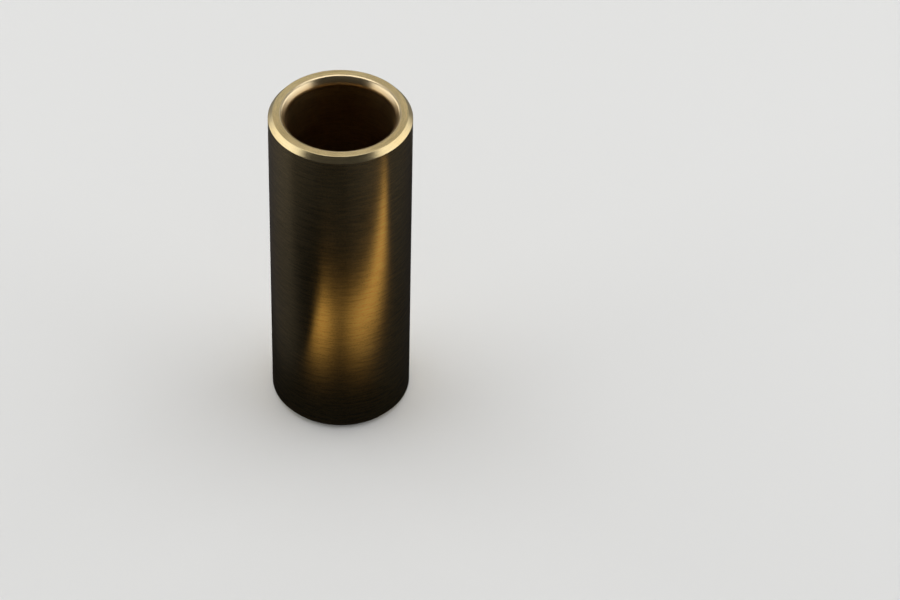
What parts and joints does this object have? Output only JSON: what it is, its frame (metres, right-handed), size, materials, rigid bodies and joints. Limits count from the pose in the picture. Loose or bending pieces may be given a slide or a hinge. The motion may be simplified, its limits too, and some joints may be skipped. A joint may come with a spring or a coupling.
{
  "type": "guitar slide",
  "caption": "Thick-walled turned brass tube that slips over a finger to stop guitar strings, with chamfered ends and a straight through bore countersunk at its mouths.",
  "frame": {"origin": "centre of the end face that the slide stands on", "axes": "+Z along the bore, from that end face to the other; the slide is alike all round, so X and Y are free"},
  "size_m": [0.0254, 0.0254, 0.0645],
  "materials": {
    "turned_brass": "satin, finely brushed round the barrel, bare metal"
  },
  "bodies": {
    "root": {"slide_tube": "turned_brass"}
  },
  "joints": []
}
